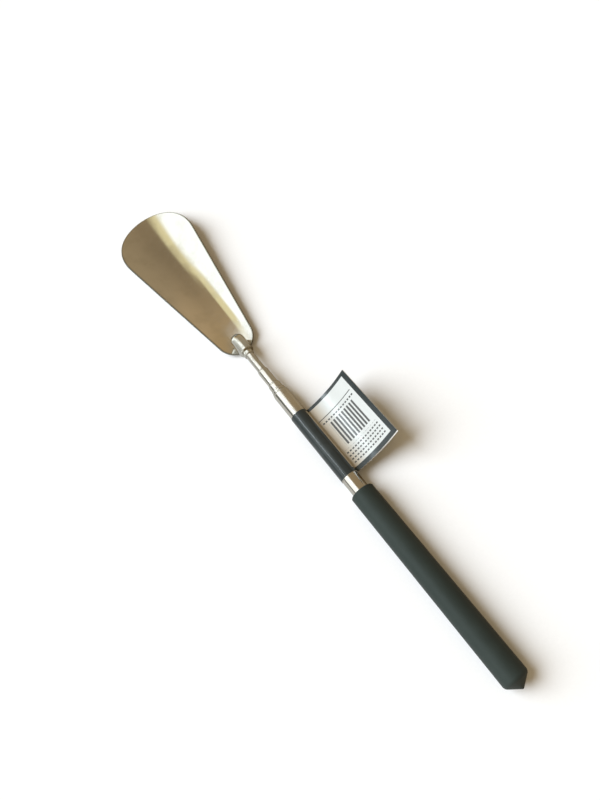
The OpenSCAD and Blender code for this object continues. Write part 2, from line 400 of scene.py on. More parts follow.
def polished_tube():
    """Drawn and polished tube, with finger marks, and painted shade at its mouth, where the next tube goes in.
    """
    made, tree, shader = new_finish("polished_steel", Metallic=1.0)
    lines = apply_effect(tree, lines_effect, Lines_per_metre=9000.0, Breaks_per_metre=50.0)
    marks = apply_effect(tree, marks_effect, Patches_per_metre=140.0, Share=0.42)
    painted_shade = stored(tree, "painted_shade")
    clean = blend(tree, marks, (0.65, 0.63, 0.59), (0.58, 0.56, 0.52))
    # Painted shade: the tube turns dark brown where its mesh is marked, at the mouth.
    tint(tree, shader, painted_shade, clean, (0.2, 0.18, 0.14))
    polish = spread(tree, lines, 0.25, 0.75, to_low=0.06, to_high=0.14)
    roughen(tree, shader, polish, (marks, 0.07), (painted_shade, 0.3))
    raise_surface(tree, shader, lines, depth=1.5e-6)
    return made


def tube_section(stage, foot, mouth):
    """Closed half section of a tube, from its foot along the outside and back through the bore."""
    outside = tube_radius - stage * tube_step
    bore = outside - tube_wall
    line = [(foot, bore), (foot, outside)]
    if stage > 0:
        top = outside + tube_step - tube_wall - slide_gap
        start = foot + bead_offset
        end = start + bead_length
        line += [(start - guard, outside)]
        line += ease_line((start, outside), (start + bead_ramp, top), bead_steps)
        line += ease_line((end - bead_ramp, top), (end, outside), bead_steps)
        line += [(end + guard, outside)]
    inner_stage = stage == len(tubes) - 1
    lip = bore if inner_stage else outside - tube_step + slide_gap
    if not inner_stage:
        line += [(mouth - roll_length - guard, outside)]
        line += ease_line((mouth - roll_length, outside), (mouth - lip_length, lip + tube_wall), bend_steps)
    half_wall = tube_wall / 2
    line += [(mouth - lip_shade - lip_shade_fade, lip + tube_wall), (mouth - lip_shade, lip + tube_wall)]
    line += round_bend((mouth - half_wall, lip + half_wall), half_wall, 90, -90, bend_steps)
    if not inner_stage:
        line += ease_line((mouth - lip_length, lip), (mouth - roll_length, bore), bend_steps)
    return line + line[:1]


steel = polished_tube()
tubes = {
    "outer_tube": "handle",
    "second_tube": "stage_2",
    "third_tube": "stage_3",
    "fourth_tube": "stage_4",
    "inner_tube": "blade_stage",
}
for stage, (name, body) in enumerate(tubes.items()):
    foot, mouth = (corner.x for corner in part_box(name))
    section = tube_section(stage, foot, mouth)
    tube = turn("drawn_" + name, section, steel, shaded_stretches=[(mouth - lip_shade, mouth)])
    keep_mesh(tube)
    fit(tube, body, name)

# Socket
# A round-nosed socket turned from bar, bright polished. Its thin neck is crimped on the inner tube with a ring
# of punched dents, and its barrel is brazed into the hollow of the blade.

socket_foot, socket_nose = (corner.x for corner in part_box("blade_socket"))
socket_radius = 3.7 * MM
neck_length = 2.6 * MM
neck_radius = 2.65 * MM
neck_rows = 26
shoulder_x = socket_foot + neck_length
shoulder_fillet = 0.1 * MM
socket_bore = 2.22 * MM
bore_depth = 10.1 * MM
bore_start = socket_foot + 0.1 * MM
socket_bevel = 0.25 * MM
socket_sides = 144
# Painted shade in the corner at the neck's shoulder, and painted shade and reflection on the nose.
socket_shade = [
    (shoulder_x - 0.12 * MM, shoulder_x - 0.02 * MM),
    (socket_nose - 2.4 * MM, socket_nose),
]
dent_count = 6
dent_radius = 0.62 * MM
dent_depth = 0.2 * MM


def dented_tree():
    """Geometry Nodes that press a ring of round dents into a piece turned about the rod's axis."""
    sizes = ["Place", "Radius", "Depth", "Ring radius", "Count"]
    tree, given = start_tree("ring_of_dents", Geometry=["Turned piece"], Float=sizes)
    point = split(tree, add(tree, "GeometryNodeInputPosition")[0])
    turn_here = calc(tree, "ARCTAN2", point["Y"], point["Z"])
    step = calc(tree, "DIVIDE", 2 * math.pi, given["Count"])
    whole = calc(tree, "FLOOR", calc(tree, "DIVIDE", turn_here, step))
    nearest = times(tree, calc(tree, "ADD", whole, 0.5), step)
    aside = times(tree, calc(tree, "SUBTRACT", turn_here, nearest), given["Ring radius"])
    ahead = calc(tree, "SUBTRACT", point["X"], given["Place"])
    squares = [calc(tree, "POWER", distance, 2.0) for distance in (aside, ahead)]
    away = calc(tree, "SQRT", calc(tree, "ADD", *squares))
    depth = spread(tree, away, given["Radius"], 0.0, 0.0, given["Depth"])
    radial = join(tree, Y=point["Y"], Z=point["Z"])
    outwards = add(tree, "ShaderNodeVectorMath", {0: radial}, operation="NORMALIZE")[0]
    from_axis = add(tree, "ShaderNodeVectorMath", {0: radial}, operation="LENGTH")["Value"]
    skin_from = times(tree, given["Ring radius"], 0.95)
    on_skin = calc(tree, "GREATER_THAN", from_axis, skin_from)
    push = times(tree, times(tree, depth, on_skin), -1.0)
    offset = add(tree, "ShaderNodeVectorMath", {0: outwards, "Scale": push}, operation="SCALE")[0]
    pressed = add(tree, "GeometryNodeSetPosition", {0: given["Turned piece"], "Offset": offset})[0]
    return end_tree(tree, pressed, given["Finish"])


def socket_section():
    """Closed half section of the socket, from its neck over the nose and back through the bore."""
    dome = socket_nose - socket_radius
    bevel, fillet = socket_bevel, shoulder_fillet
    bevel_steps, corner_steps, dome_steps = 6, 4, 32
    line = round_bend((socket_foot + bevel, neck_radius - bevel), bevel, 180, 90, bevel_steps)
    neck_step = (neck_length - bevel - 2 * fillet) / neck_rows
    line += [(socket_foot + bevel + neck_step * k, neck_radius) for k in range(1, neck_rows + 1)]
    line += round_bend((shoulder_x - fillet, neck_radius + fillet), fillet, 270, 360, corner_steps)
    line += round_bend((shoulder_x + bevel, socket_radius - bevel), bevel, 180, 90, bevel_steps)
    line += [(shoulder_x + bevel + guard, socket_radius), (dome - guard, socket_radius)]
    line += round_bend((dome, 0), socket_radius, 90, 0, dome_steps)
    bore_end = socket_foot + bore_depth
    line += [(bore_end, 0), (bore_end, socket_bore), (bore_start, socket_bore)]
    return line + line[:1]


def polished_bar():
    """Turned and polished bar, with finger marks, painted shade in the neck's corner, and painted shade and
    reflection darkening the nose.
    """
    made, tree, shader = new_finish("polished_bar", Metallic=1.0)
    rings = apply_effect(tree, rings_effect, Rings_per_metre=9000.0)
    marks = apply_effect(tree, marks_effect, Patches_per_metre=260.0, Share=0.45)
    painted_shade = stored(tree, "painted_shade")
    clean = blend(tree, marks, (0.66, 0.65, 0.605), (0.57, 0.56, 0.515))
    # Painted shade and reflection: the bar turns dark brown where its mesh is marked.
    tint(tree, shader, painted_shade, clean, (0.25, 0.22, 0.16))
    polish = spread(tree, rings, 0.3, 0.7, to_low=0.035, to_high=0.07)
    roughen(tree, shader, polish, (marks, 0.04), (painted_shade, 0.22))
    raise_surface(tree, shader, rings, depth=1.2e-7)
    return made


bar_steel = polished_bar()
socket = turn("crimped_socket", socket_section(), bar_steel, socket_sides, socket_shade)
run_tree(
    socket, dented_tree(), Place=socket_foot + neck_length / 2, Radius=dent_radius, Depth=dent_depth,
    Ring_radius=neck_radius, Count=dent_count, Finish=bar_steel,
)
keep_mesh(socket)
fit(socket, "blade_stage", "blade_socket")

# Blade
# Stainless sheet, cut to a long tongue with a round tail and an oval tip, pressed to a trough that opens
# towards the tip, tumbled to take the burr off its rim and polished lengthwise.

sheet_thickness = 0.8 * MM
tail_x, tip_x = along(202.0), along(284.0)
tail_radius = 9.7 * MM
tip_length, tip_half_width = 29.0 * MM, 21.6 * MM
tail_bend, tip_bend = 18.0 * MM, 40.0 * MM
tail_spine = -socket_radius - 0.1 * MM
tip_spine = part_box("blade")[0].z + sheet_thickness
dip_from = tail_x + 2.0 * MM
tip_lift = 0.5 * MM
blade_rings = 36
rim_bevel, rim_segments = 0.26 * MM, 4
# Painted shade: the rim darkens fully within the first distance from its edge and fades out by the second.
rim_shade_width, rim_shade_fade = 0.2 * MM, 0.55 * MM


def blade_outline():
    """One side and then the other of the tongue: round tail, straight flared sides, oval tip."""
    # Each side touches the tail's circle and the tip's ellipse; its flare solves a quadratic for the sine.
    span = tip_x - tail_x
    a = span ** 2 - tip_length ** 2 + tip_half_width ** 2
    b = span * tail_radius
    sine = (math.sqrt(b * b + a * (tip_half_width ** 2 - tail_radius ** 2)) - b) / a
    flare = math.asin(sine)
    turn_off = math.pi / 2 + math.atan2(tip_length * sine, tip_half_width * math.cos(flare))
    tail_steps, side_steps, tip_steps = 40, 60, 64
    half = []
    for k in range(tail_steps + 1):
        t = (math.pi / 2 - flare) * k / tail_steps
        half.append((tail_x - tail_radius * math.cos(t), tail_radius * math.sin(t)))
    tip = []
    for k in range(tip_steps + 1):
        t = turn_off * (1 - k / tip_steps)
        tip.append((tip_x + tip_length * math.cos(t), tip_half_width * math.sin(t)))
    (x0, y0), (x1, y1) = half[-1], tip[0]
    for k in range(1, side_steps):
        half.append((x0 + (x1 - x0) * k / side_steps, y0 + (y1 - y0) * k / side_steps))
    half += tip
    return half + [(x, -y) for x, y in half[-2::-1]]


def pressed_tree():
    """Geometry Nodes that fill a flat outline with rings and press it to a trough that widens."""
    ends = [end + size for end in ("Tail", "Tip") for size in ("", " end", " bend", " spine")]
    sizes = ends + ["Dip from", "Tip lift"]
    tree, given = start_tree("pressed_blade", Geometry=["Outline"], Int=["Rings"], Float=sizes)
    outline, rings = given["Outline"], given["Rings"]
    sheet, column, row = counted_sheet(tree, point_count(tree, outline), calc(tree, "ADD", rings, 1.0))
    crowded_to_rim = 1.7
    inset = calc(tree, "POWER", calc(tree, "DIVIDE", row, rings), crowded_to_rim)
    position = add(tree, "GeometryNodeInputPosition")[0]
    on_rim = read_line(tree, outline, column, position, "FLOAT_VECTOR")
    rim = split(tree, on_rim)
    middle = calc(tree, "MINIMUM", calc(tree, "MAXIMUM", rim["X"], given["Tail"]), given["Tip"])
    x = spread(tree, inset, 0.0, 1.0, rim["X"], middle, kind="LINEAR")
    y = spread(tree, inset, 0.0, 1.0, rim["Y"], 0.0, kind="LINEAR")
    bends = given["Tail bend"], given["Tip bend"]
    bend = spread(tree, x, given["Tail end"], given["Tip end"], *bends, kind="LINEAR")
    spine = spread(tree, x, given["Dip from"], given["Tip"], given["Tail spine"], given["Tip spine"])
    curl = calc(tree, "POWER", spread(tree, x, given["Tip"], given["Tip end"], kind="LINEAR"), 2.0)
    lift = times(tree, curl, given["Tip lift"])
    squares = [calc(tree, "POWER", distance, 2.0) for distance in (bend, y)]
    drop = calc(tree, "SQRT", calc(tree, "SUBTRACT", *squares))
    z = calc(tree, "ADD", calc(tree, "ADD", spine, lift), calc(tree, "SUBTRACT", bend, drop))
    place, flat_place = join(tree, X=x, Y=y, Z=z), join(tree, X=x, Y=y)
    shaped = add(tree, "GeometryNodeSetPosition", {"Geometry": sheet, "Position": place})[0]
    from_rim = add(tree, "ShaderNodeVectorMath", {0: flat_place, 1: on_rim}, operation="DISTANCE")
    marked = named_mark(tree, shaped, "from_rim", from_rim["Value"])
    return end_tree(tree, welded(tree, marked, distance=1e-6), given["Finish"])


def polished_sheet():
    """Sheet polished lengthwise, with finger marks, and a dark, rougher band of painted shade along its rim.
    """
    made, tree, shader = new_finish("blade_steel", Metallic=1.0)
    lines = apply_effect(tree, lines_effect, Lines_per_metre=5500.0, Breaks_per_metre=35.0)
    marks = apply_effect(tree, marks_effect, Patches_per_metre=70.0, Share=0.45)
    # Painted shade: a dark band along the rim, which is also rougher there.
    rim_shade = spread(tree, stored(tree, "from_rim"), rim_shade_fade, rim_shade_width)
    face = blend(tree, marks, (0.64, 0.62, 0.58), (0.58, 0.56, 0.52))
    tint(tree, shader, rim_shade, face, (0.27, 0.26, 0.22))
    polish = spread(tree, lines, 0.25, 0.75, to_low=0.06, to_high=0.1)
    roughen(tree, shader, polish, (marks, 0.04), (rim_shade, 0.25))
    raise_surface(tree, shader, lines, depth=9e-7)
    return made


blade_steel = polished_sheet()
blade = draw_line("pressed_blade", [(x, y, 0.0) for x, y in blade_outline()])
run_tree(
    blade, pressed_tree(), Rings=blade_rings, Tail=tail_x, Tip=tip_x, Tail_end=tail_x - tail_radius,
    Tip_end=tip_x + tip_length, Tail_bend=tail_bend, Tip_bend=tip_bend, Tail_spine=tail_spine,
    Tip_spine=tip_spine, Dip_from=dip_from, Tip_lift=tip_lift, Finish=blade_steel,
)
keep_mesh(blade)
if blade.data.polygons[0].normal.z < 0:
    blade.data.flip_normals()
thicken = blade.modifiers.new("sheet", "SOLIDIFY")
thicken.thickness = sheet_thickness
thicken.offset = -1
thicken.use_even_offset = True
rim = blade.modifiers.new("rim", "BEVEL")
rim.width = rim_bevel
rim.segments = rim_segments
rim.limit_method = "ANGLE"
rim.angle_limit = math.radians(60)
keep_mesh(blade)
fit(blade, "blade_stage", "blade")

# Braze
# Filler metal that has run in between the socket's underside and the hollow of the blade, drawn up to a small
# fillet along both flanks and feathered out at both ends.

fillet_top = 0.9 * MM - socket_radius
fillet_reach = 1.3 * MM
fillet_from = tail_x - tail_radius + 0.8 * MM
fillet_to = socket_nose - 1.4 * MM
fillet_runout = 1.2 * MM
fillet_steps, runout_steps = 40, 6
film = 0.01 * MM


def blade_hollow(x, y):
    """Height of the blade's hollow face."""
    t = (x - tail_x + tail_radius) / (tip_x + tip_length - tail_x + tail_radius)
    bend = tail_bend + (tip_bend - tail_bend) * t
    return tail_spine + bend - math.sqrt(bend * bend - y * y)


def fillet_ring(x, rise):
    """Points round the braze at one place along the rod: up over its top and back along the blade."""
    dome = socket_nose - socket_radius
    radius = math.sqrt(max(socket_radius ** 2 - max(x - dome, 0) ** 2, 0))
    reach = max(min(x, fillet_to), fillet_from)
    touch_radius = math.sqrt(socket_radius ** 2 - max(reach - dome, 0) ** 2)
    touch = math.sqrt(touch_radius ** 2 - fillet_top ** 2)
    flank, skirt = 8, 6
    half = []
    for k in range(flank + 1):
        y = touch * k / flank
        half.append((y, -math.sqrt(max(radius ** 2 - y * y, 0)) - 3 * film))
    for k in range(1, skirt + 1):
        t = k / skirt
        y = touch + fillet_reach * t
        foot = blade_hollow(x, y) + 3 * film
        half.append((y, foot + (fillet_top - foot) * (1 - t) ** 2))
    top = []
    for y, z in half:
        base = blade_hollow(x, y) + 2 * film
        top.append((y, base + (z - base) * rise + 2 * film))
    across = [(-y, z) for y, z in top[:0:-1]] + top
    under = [(y, blade_hollow(x, y) + film) for y, z in across[::-1]]
    return [(x, y, z) for y, z in across + under]


def loft(name, rings, sharp_from):
    """A closed skin through rings of points, with hard edges from an angle on."""
    mesh = bpy.data.meshes.new(name)
    shell = bmesh.new()
    loops = [[shell.verts.new(point) for point in ring] for ring in rings]
    count = len(loops[0])
    for a, b in zip(loops, loops[1:]):
        for k in range(count):
            shell.faces.new((a[k], a[(k + 1) % count], b[(k + 1) % count], b[k]))
    half = count // 2
    for ring in (loops[0], loops[-1]):
        for k in range(half - 1):
            shell.faces.new((ring[k], ring[k + 1], ring[count - 2 - k], ring[count - 1 - k]))
    bmesh.ops.recalc_face_normals(shell, faces=shell.faces)
    for face in shell.faces:
        face.smooth = True
    shell.to_mesh(mesh)
    shell.free()
    mesh.set_sharp_from_angle(angle=math.radians(sharp_from))
    return new_object(name, mesh)


def braze_metal():
    """Dull brownish filler metal with an uneven skin."""
    made, tree, shader = new_finish("braze_metal", Metallic=1.0)
    marks = apply_effect(tree, marks_effect, Patches_per_metre=900.0)
    tint(tree, shader, marks, (0.32, 0.28, 0.21), (0.2, 0.17, 0.12))
    roughen(tree, shader, spread(tree, marks, 0.0, 1.0, to_low=0.4, to_high=0.58))
    raise_surface(tree, shader, marks, depth=2e-5)
    return made


rings = []
for k in range(fillet_steps + 1):
    x = fillet_from + (fillet_to - fillet_from) * k / fillet_steps
    thin = max(1 - (x - fillet_from) / fillet_runout, 0)
    rings.append(fillet_ring(x, 1 - thin ** 2))
for k in range(1, runout_steps + 1):
    rings.append(fillet_ring(fillet_to + fillet_runout * k / runout_steps, (1 - k / runout_steps) ** 2))
braze = loft("braze_fillet", rings, sharp_from=50)
braze.data.materials.append(braze_metal())
fit(braze, "blade_stage", "braze_pad")

# Grip
# A soft rubber sleeve, moulded matt with a fine grain, whose closed end is a cone with a small round point. It
# is pushed over the outer tube and held by its own grip and a little glue.

grip_radius = 5.6 * MM
grip_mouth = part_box("grip_sleeve")[1].x
cone_length, point_cut = 3.75 * MM, 0.15 * MM
shoulder_radius, rim_radius = 2.0 * MM, 0.6 * MM
mouth_bevel = 0.15 * MM
grip_bore = 4.02 * MM
grip_sides = 128
plug_face = along(4.98)


def grip_section():
    """Half section of the grip, from its point along the outside to the rim and back through the bore."""
    slope = math.atan2(grip_radius, cone_length)
    cone_turn = 90 + math.degrees(slope)
    point_radius = point_cut / (1 / math.sin(slope) - 1)
    barrel = butt_x - point_cut + cone_length + shoulder_radius * math.tan(slope / 2)
    shoulder = (barrel, grip_radius - shoulder_radius)
    point_steps, shoulder_steps, rim_steps = 8, 16, 8
    line = round_bend((butt_x + point_radius, 0.0), point_radius, 180, cone_turn, point_steps)
    line += round_bend(shoulder, shoulder_radius, cone_turn, 90, shoulder_steps)
    line += [(barrel + guard, grip_radius), (grip_mouth - rim_radius - guard, grip_radius)]
    line += round_bend((grip_mouth - rim_radius, grip_radius - rim_radius), rim_radius, 90, 0, rim_steps)
    line += [(grip_mouth, grip_bore + mouth_bevel), (grip_mouth - mouth_bevel, grip_bore)]
    line += [(plug_face, grip_bore), (plug_face, 0.0)]
    return line


def grained_surface():
    """Pebbled grain of a moulded or printed surface, as a height."""
    tree, size, result = effect("grained_surface", {"Grains per metre": 4000.0}, "Grain")
    where = {"Vector": object_place(tree), "Scale": size["Grains per metre"]}
    cells = add(tree, "ShaderNodeTexVoronoi", where, feature="F1")["Distance"]
    fibres = add(tree, "ShaderNodeTexNoise", {**where, "Detail": 3.0})["Fac"]
    pebbles, fluff = times(tree, cells, 0.6), times(tree, fibres, 0.5)
    tree.links.new(calc(tree, "ADD", pebbles, fluff), result)
    return tree


grain_effect = grained_surface()


def matt_rubber():
    """Near-black rubber with a moulded grain and faint finger marks."""
    made, tree, shader = new_finish("grip_rubber", Specular_IOR_Level=0.3)
    grain = apply_effect(tree, grain_effect, Grains_per_metre=3600.0)
    marks = apply_effect(tree, marks_effect, Patches_per_metre=55.0, Share=0.5)
    mottle = times(tree, calc(tree, "ADD", grain, marks), 0.5)
    tint(tree, shader, mottle, (0.022, 0.031, 0.028), (0.03, 0.04, 0.036))
    roughen(tree, shader, spread(tree, grain, 0.2, 0.9, to_low=0.42, to_high=0.54), (marks, 0.06))
    raise_surface(tree, shader, grain, depth=2.2e-5)
    return made


grip = turn("moulded_grip", grip_section(), matt_rubber(), grip_sides)
keep_mesh(grip, sharp_from=50)
fit(grip, "handle", "grip_sleeve")

# Tag
# One strip of glossy printed paper, wrapped round the outer tube with its two ends glued back to back as a
# flag that curls up at its free edge. The outside is black, with a white panel on the flag's upper face.

paper = 0.2 * MM
layer_offset = paper * 0.52
tag_from, tag_to = (corner.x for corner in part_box("paper_tag"))
tag_columns = 40
band_radius = 4.13 * MM
band_start, band_end = 176.0, 222.0
root_turn = math.radians(194)
flag_length = 26.6 * MM
lower_slip = 0.5 * MM
slope_start, slope_end = math.radians(8), math.radians(42)
upper_slope, lower_slope = math.radians(9.6), math.radians(11.5)
upper_pull, lower_pull = 0.75 * MM, 0.9 * MM
flag_steps, band_steps, crease_steps = 30, 60, 10
flag_radius = flag_length / (slope_end - slope_start)
root = Vector((math.cos(root_turn), math.sin(root_turn))) * band_radius
flag_centre = root + Vector((math.sin(slope_start), math.cos(slope_start))) * flag_radius


def flag_point(slope, lift):
    """A point of the flag's section, lifted towards the inside of its curl."""
    return flag_centre - Vector((math.sin(slope), math.cos(slope))) * (flag_radius - lift)


def flag_layer(start, end, lift):
    """Points of one layer of the flag, from one slope to another."""
    return [flag_point(start + (end - start) * k / flag_steps, lift) for k in range(flag_steps + 1)]


def band_point(degrees):
    """A point of the band round the tube."""
    turn_at = math.radians(degrees)
    return Vector((math.cos(turn_at), math.sin(turn_at))) * band_radius


def band_way(degrees):
    """The strip's direction at that point, on its way from the upper layer to the lower."""
    turn_at = math.radians(degrees)
    return Vector((math.sin(turn_at), -math.cos(turn_at)))


def crease(a, towards_a, b, towards_b, pull):
    """Points of a soft bend from a to b, leaving and arriving along the given directions."""
    p, q = a + towards_a * pull, b - towards_b * pull
    points = []
    for k in range(1, crease_steps):
        t = k / crease_steps
        u = 1 - t
        points.append(a * u ** 3 + p * 3 * u * u * t + q * 3 * u * t * t + b * t ** 3)
    return points


def strip_path():
    """The strip's section from the flag's free edge, along its upper layer, round the tube and out again."""
    upper = flag_layer(slope_end, upper_slope, layer_offset)
    lower = flag_layer(lower_slope, slope_end, -layer_offset)
    sweep = band_start + 360 - band_end
    around = [band_point(band_start - sweep * k / band_steps) for k in range(band_steps + 1)]
    inwards = Vector((math.cos(upper_slope), -math.sin(upper_slope)))
    outwards = Vector((-math.cos(lower_slope), math.sin(lower_slope)))
    bend_in = crease(upper[-1], inwards, around[0], band_way(band_start), upper_pull)
    bend_out = crease(around[-1], band_way(band_end), lower[0], outwards, lower_pull)
    return upper + bend_in + around + bend_out + lower


def paper_strip(name, sharp_from):
    """The strip as a thin closed sheet, with its flat place as UV and its outside marked as printed."""
    path = strip_path()
    run = [0.0]
    for a, b in zip(path, path[1:]):
        run.append(run[-1] + (b - a).length)
    shell = bmesh.new()
    layers = []
    for side in (0.5, -0.5):
        rows = []
        for k, point in enumerate(path):
            before, after = path[max(k - 1, 0)], path[min(k + 1, len(path) - 1)]
            tangent = (after - before).normalized()
            outward = Vector((-tangent.y, tangent.x))
            place = point + outward * paper * side
            slip = lower_slip * max(0.0, 1 - (run[-1] - run[k]) / flag_length)
            across = [tag_from - slip + (tag_to - tag_from) * c / tag_columns for c in range(tag_columns + 1)]
            rows.append([shell.verts.new((x, place.x, place.y)) for x in across])
        layers.append(rows)
    uv = shell.loops.layers.uv.new("flat_place")
    printed = shell.faces.layers.float.new("printed")

    def skin(marked, *corners):
        """A face through four corners, each given as its layer, row and column."""
        face = shell.faces.new([layers[layer][row][column] for layer, row, column in corners])
        face[printed] = marked
        face.smooth = True
        for loop, (layer, row, column) in zip(face.loops, corners):
            loop[uv].uv = (column / tag_columns, run[row] / run[-1])

    last = len(path) - 1
    for side in (0, 1):
        for r in range(last):
            for c in range(tag_columns):
                skin(1.0 - side, (side, r, c), (side, r, c + 1), (side, r + 1, c + 1), (side, r + 1, c))
    for r in range(last):
        for c in (0, tag_columns):
            skin(0.0, (0, r, c), (0, r + 1, c), (1, r + 1, c), (1, r, c))
    for c in range(tag_columns):
        for r in (0, last):
            skin(0.0, (0, r, c), (0, r, c + 1), (1, r, c + 1), (1, r, c))
    bmesh.ops.recalc_face_normals(shell, faces=shell.faces)
    mesh = bpy.data.meshes.new(name)
    shell.to_mesh(mesh)
    shell.free()
    mesh.set_sharp_from_angle(angle=math.radians(sharp_from))
    return new_object(name, mesh), run[-1]


tag, strip_length = paper_strip("paper_strip", sharp_from=60)
tag_width = tag_to - tag_from


def ruled_block():
    """Even bars across a block of the flat strip, as a mask; all sizes are in metres."""
    names = ("U", "V", "Middle U", "Half U", "Middle V", "Half V", "Pitch", "Bar")
    tree, size, result = effect("ruled_block", dict.fromkeys(names, 0.0), "Mask")
    in_u = calc(tree, "COMPARE", size["U"], size["Middle U"], size["Half U"])
    in_v = calc(tree, "COMPARE", size["V"], size["Middle V"], size["Half V"])
    from_edge = calc(tree, "ADD", calc(tree, "SUBTRACT", size["V"], size["Middle V"]), size["Half V"])
    phase = calc(tree, "FRACT", calc(tree, "DIVIDE", from_edge, size["Pitch"]))
    bar = calc(tree, "LESS_THAN", phase, size["Bar"])
    tree.links.new(times(tree, times(tree, in_u, in_v), bar), result)
    return tree


def printed_paper():
    """Glossy paper, its outside black with bars and dashes on a white panel, with the tube's shadow painted
    warm brown on the panel towards the tube.
    """
    made, tree, shader = new_finish("tag_paper", Specular_IOR_Level=0.4)
    flat = split(tree, add(tree, "ShaderNodeUVMap", uv_map="flat_place")[0])
    u = times(tree, flat["X"], tag_width)
    v = times(tree, flat["Y"], strip_length)
    block = ruled_block()

    def bars(u_from, u_to, v_from, v_to, pitch=100.0, bar=1.0, swap=False):
        """A block with its bars, in millimetres; without a pitch it is one solid bar."""
        values = {
            "U": v if swap else u, "V": u if swap else v,
            "Middle U": (u_from + u_to) / 2 * MM, "Half U": (u_to - u_from) / 2 * MM,
            "Middle V": (v_from + v_to) / 2 * MM, "Half V": (v_to - v_from) / 2 * MM,
            "Pitch": pitch * MM, "Bar": bar,
        }
        return add(tree, "ShaderNodeGroup", values, node_tree=block)[0]

    panel = bars(2.2, 37.6, 2.6, 29.4)
    hatch = bars(12.7, 26.4, 6.6, 22.4, pitch=1.75, bar=0.55)
    rule = bars(4.0, 25.5, 30.1, 30.5, swap=True)
    dashes = bars(0.0, 40.0, 4.4, 25.0, pitch=1.6, bar=0.62)
    rows = bars(0.0, 30.0, 3.7, 11.2, pitch=1.85, bar=0.4, swap=True)
    heading = bars(0.0, 30.0, 27.6, 28.4, swap=True)
    notes = times(tree, dashes, calc(tree, "MAXIMUM", rows, heading))
    ink = calc(tree, "MAXIMUM", calc(tree, "MAXIMUM", hatch, rule), notes)
    fibres = apply_effect(tree, grain_effect, Grains_per_metre=7000.0)
    marks = apply_effect(tree, marks_effect, Patches_per_metre=120.0, Share=0.45)

    black = blend(tree, marks, (0.027, 0.034, 0.034), (0.034, 0.042, 0.042))
    clean = blend(tree, fibres, (0.56, 0.585, 0.565), (0.63, 0.655, 0.635))
    # Painted shadow and reflection: the panel turns warm brown towards the tube, where the tube shades it.
    painted_tube_shadow = spread(tree, v, 17.0 * MM, 26.0 * MM, to_high=0.9)
    white = blend(tree, painted_tube_shadow, clean, (0.45, 0.375, 0.265))
    back = blend(tree, fibres, (0.66, 0.65, 0.62), (0.74, 0.73, 0.7))
    page = blend(tree, times(tree, ink, 0.94), white, (0.035, 0.036, 0.036))
    print_side = blend(tree, panel, black, page)
    tint(tree, shader, stored(tree, "printed"), back, print_side)
    roughen(tree, shader, spread(tree, fibres, 0.2, 0.9, to_low=0.11, to_high=0.18), (marks, 0.06))
    raise_surface(tree, shader, fibres, depth=5e-6)
    return made


tag.data.materials.append(printed_paper())
fit(tag, "handle", "paper_tag")

# Table, light and camera
# A plain white table top, one broad window high on the left, a warm brown room that is seen only in
# reflections, and the camera looking down from above the grip.

table_size = 6.0
table_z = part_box("grip_sleeve")[0].z
mirror_edge = 3 * MM
camera_place = Vector((-37.15, 20.29, 257.81)) * MM
camera_way = Vector((0.4667, -0.0861, -0.8802))
camera_up = Vector((0.6785, -0.6035, 0.4188))
camera_lens = 27.9


def table_top():
    """The table top, nearly white to the eye; reflections show it grey on the window side and brown on the
    other side, a painted shadow.
    """
    made, tree, shader = new_finish("table_white", Roughness=0.7, Specular_IOR_Level=0.1)
    grain = apply_effect(tree, grain_effect, Grains_per_metre=900.0)
    seen = blend(tree, grain, (0.93, 0.93, 0.92), (0.96, 0.96, 0.95))
    window_side = spread(tree, split(tree, object_place(tree))["Y"], -mirror_edge, mirror_edge)
    # Painted shadow: the brown half stands for the shaded table beside the object, as reflections see it.
    mirrored = blend(tree, window_side, (0.36, 0.29, 0.19), (0.62, 0.62, 0.6))
    tint(tree, shader, add(tree, "ShaderNodeLightPath")["Is Glossy Ray"], seen, mirrored)
    mesh = bpy.data.meshes.new("table")
    half = table_size / 2
    corners = [(-half, -half, table_z), (half, -half, table_z), (half, half, table_z), (-half, half, table_z)]
    mesh.from_pydata(corners, [], [(0, 1, 2, 3)])
    mesh.materials.append(made)
    return new_object("table", mesh)


def far_light(name, heading, elevation, width, strength, colour):
    """A far, broad light at a heading and an elevation, in degrees, that isn't seen in reflections."""
    light = bpy.data.lights.new(name, "SUN")
    light.energy = strength
    light.angle = math.radians(width)
    light.color = colour
    holder = new_object(name, light)
    holder.visible_glossy = False
    h, e = math.radians(heading), math.radians(elevation)
    towards = Vector((math.cos(e) * math.cos(h), math.cos(e) * math.sin(h), math.sin(e)))
    holder.rotation_mode = "QUATERNION"
    holder.rotation_quaternion = towards.to_track_quat("Z", "Y")


def drawn_curve(tree, value, points):
    """A value read off a line through points; the points lie between 0 and 1."""
    result = add(tree, "ShaderNodeFloatCurve", {"Value": value})[0]
    mapping = result.node.mapping
    line = mapping.curves[0]
    line.points[0].location, line.points[1].location = points[0], points[-1]
    for x, y in points[1:-1]:
        line.points.new(x, y)
    for point in line.points:
        point.handle_type = "VECTOR"
    mapping.update()
    return result


def colour_stops(tree, value, stops):
    """A colour that goes through the stops, each a place and a colour."""
    result = add(tree, "ShaderNodeValToRGB", {0: value})["Color"]
    ramp = result.node.color_ramp
    for k, (place, colour) in enumerate(stops):
        stop = ramp.elements[k] if k < len(ramp.elements) else ramp.elements.new(place)
        stop.position = place
        stop.color = (*colour, 1.0)
    return result


